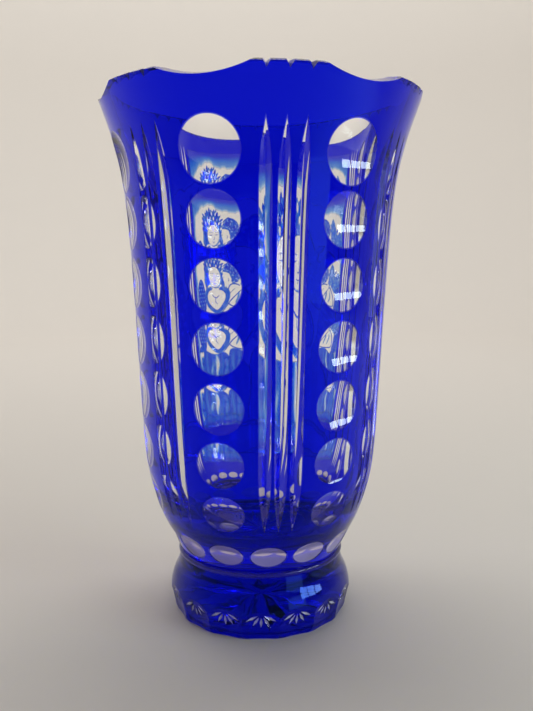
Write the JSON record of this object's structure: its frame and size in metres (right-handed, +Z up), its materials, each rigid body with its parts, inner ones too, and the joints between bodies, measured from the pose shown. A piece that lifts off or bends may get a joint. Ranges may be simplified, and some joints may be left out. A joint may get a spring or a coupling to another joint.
{
  "type": "cased crystal vase",
  "caption": "Tall flared vase of clear crystal under a cobalt glass skin, cut with round lenses, mitre flutes and a notched rim, with an etched picture panel at the back.",
  "frame": {"origin": "middle of the resting face, under the vase's axis", "axes": "+Z up the axis to the rim, -Y to the front flute group, +Y to the picture panel, +X to the viewer's right"},
  "size_m": [0.1822, 0.1836, 0.3],
  "materials": {
    "crystal": "polished",
    "crystal_foot": "polished",
    "cobalt_skin": "polished",
    "cobalt_solid": "polished",
    "cameo": "etched and shaded"
  },
  "bodies": {
    "root": {"bowl_crystal": "crystal", "bowl_casing": "cobalt_skin", "neck_merese": "cobalt_solid", "foot_crystal": "crystal_foot", "foot_casing": "cobalt_skin", "cameo_winged_figure": "cameo", "cameo_curly_figure": "cameo", "cameo_foliage": "cameo", "cameo_cloud": "cameo"}
  },
  "joints": []
}
